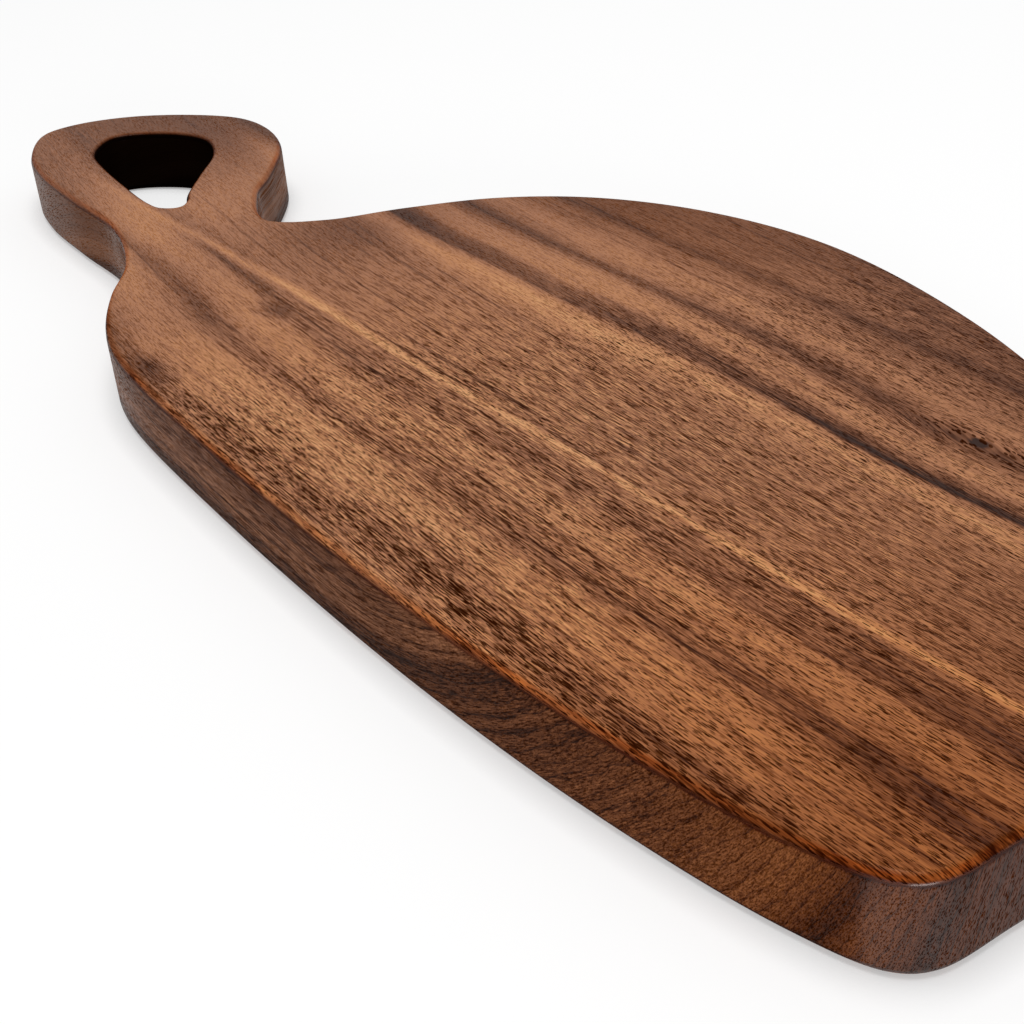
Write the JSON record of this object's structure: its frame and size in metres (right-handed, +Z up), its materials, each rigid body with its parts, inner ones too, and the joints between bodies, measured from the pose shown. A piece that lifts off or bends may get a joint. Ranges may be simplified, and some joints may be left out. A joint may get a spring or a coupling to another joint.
{
  "type": "paddle charcuterie board",
  "caption": "Flat free-form wooden serving board with eased edges and a loop handle that has a rounded triangular hand hole.",
  "frame": {"origin": "middle of the bounding box of the underside, on the table", "axes": "+X along the grain from the handle's tip to the front edge, +Y towards the swelling right side, +Z up"},
  "size_m": [0.4902, 0.1952, 0.022],
  "materials": {
    "oiled_walnut": "oiled, satin, straight grain with dark streaks"
  },
  "bodies": {
    "root": {"board": "oiled_walnut"}
  },
  "joints": []
}
